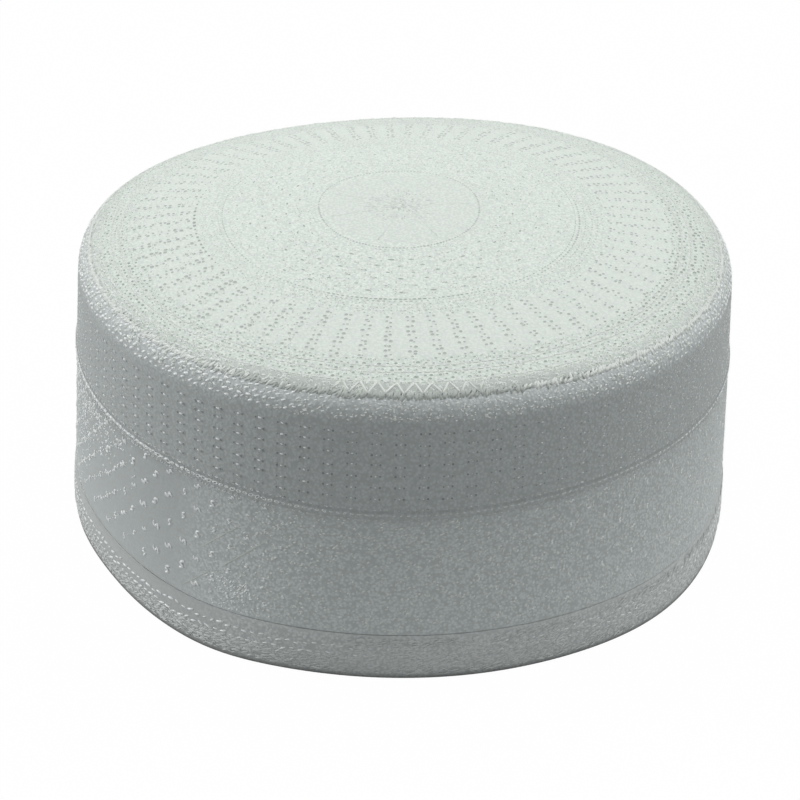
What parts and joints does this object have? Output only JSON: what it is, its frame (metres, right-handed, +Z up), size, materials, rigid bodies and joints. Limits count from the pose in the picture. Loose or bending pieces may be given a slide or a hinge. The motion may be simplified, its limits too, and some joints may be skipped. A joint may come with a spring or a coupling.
{
  "type": "prayer cap",
  "caption": "Round stiff cloth prayer cap: low domed crown, rolled shoulder, tapered side wall with a fold crease, and a hem band; open below for the head.",
  "frame": {"origin": "middle of the rim's outline, on the surface that the cap rests on", "axes": "+Z up through the crown, -Y towards the side that the picture shows in front, +X to that view's right"},
  "size_m": [0.1845, 0.1846, 0.085],
  "materials": {
    "crown_cloth": "white machine-embroidered cotton, matt with a faint thread sheen",
    "wall_cloth": "white machine-embroidered cotton, stiffened, matt",
    "hem_cloth": "white cotton, folded and stitched in close rows"
  },
  "bodies": {
    "root": {"crown_top": "crown_cloth", "side_wall": "wall_cloth", "hem_band": "hem_cloth"}
  },
  "joints": []
}
